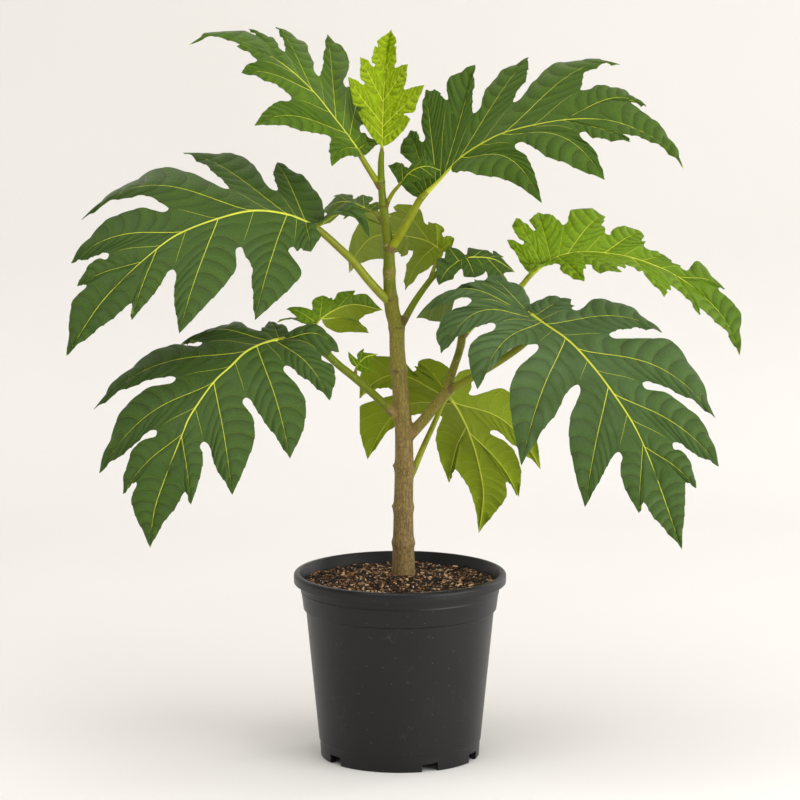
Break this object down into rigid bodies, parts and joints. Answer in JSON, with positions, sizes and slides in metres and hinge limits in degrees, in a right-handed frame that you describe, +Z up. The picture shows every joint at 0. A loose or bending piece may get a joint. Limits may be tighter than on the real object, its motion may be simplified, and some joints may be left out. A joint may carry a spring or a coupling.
{
  "type": "potted breadnut tree",
  "caption": "Young breadnut tree with large lobed leaves on a slim ringed trunk, growing in a black plastic nursery pot.",
  "frame": {"origin": "centre of the flat face under the pot's floor, on the ground", "axes": "+Z up along the pot's axis, -Y towards the viewer of the picture, +X to the viewer's right"},
  "size_m": [0.7952, 0.4094, 0.8559],
  "materials": {
    "pot_black": "satin black moulded plastic",
    "soil_brown": "matt peat and bark potting mix",
    "bark_brown": "smooth brown and green bark",
    "leaf_green": "satin dark green leaf",
    "leaf_young": "glossy young yellow-green leaf"
  },
  "bodies": {
    "root": {"pot": "pot_black", "soil": "soil_brown", "trunk": "bark_brown", "leaf_crown": "leaf_young", "leaf_upper_left": "leaf_green", "leaf_upper_right": "leaf_green", "leaf_small_top": "leaf_green", "leaf_left": "leaf_green", "leaf_lower_left": "leaf_green", "leaf_inner_left": "leaf_green", "leaf_behind": "leaf_green", "leaf_behind_upper": "leaf_green", "leaf_inner_right": "leaf_green", "leaf_right": "leaf_green", "leaf_right_back": "leaf_green", "leaf_low_back": "leaf_green", "leaf_shoot": "leaf_green"}
  },
  "joints": []
}
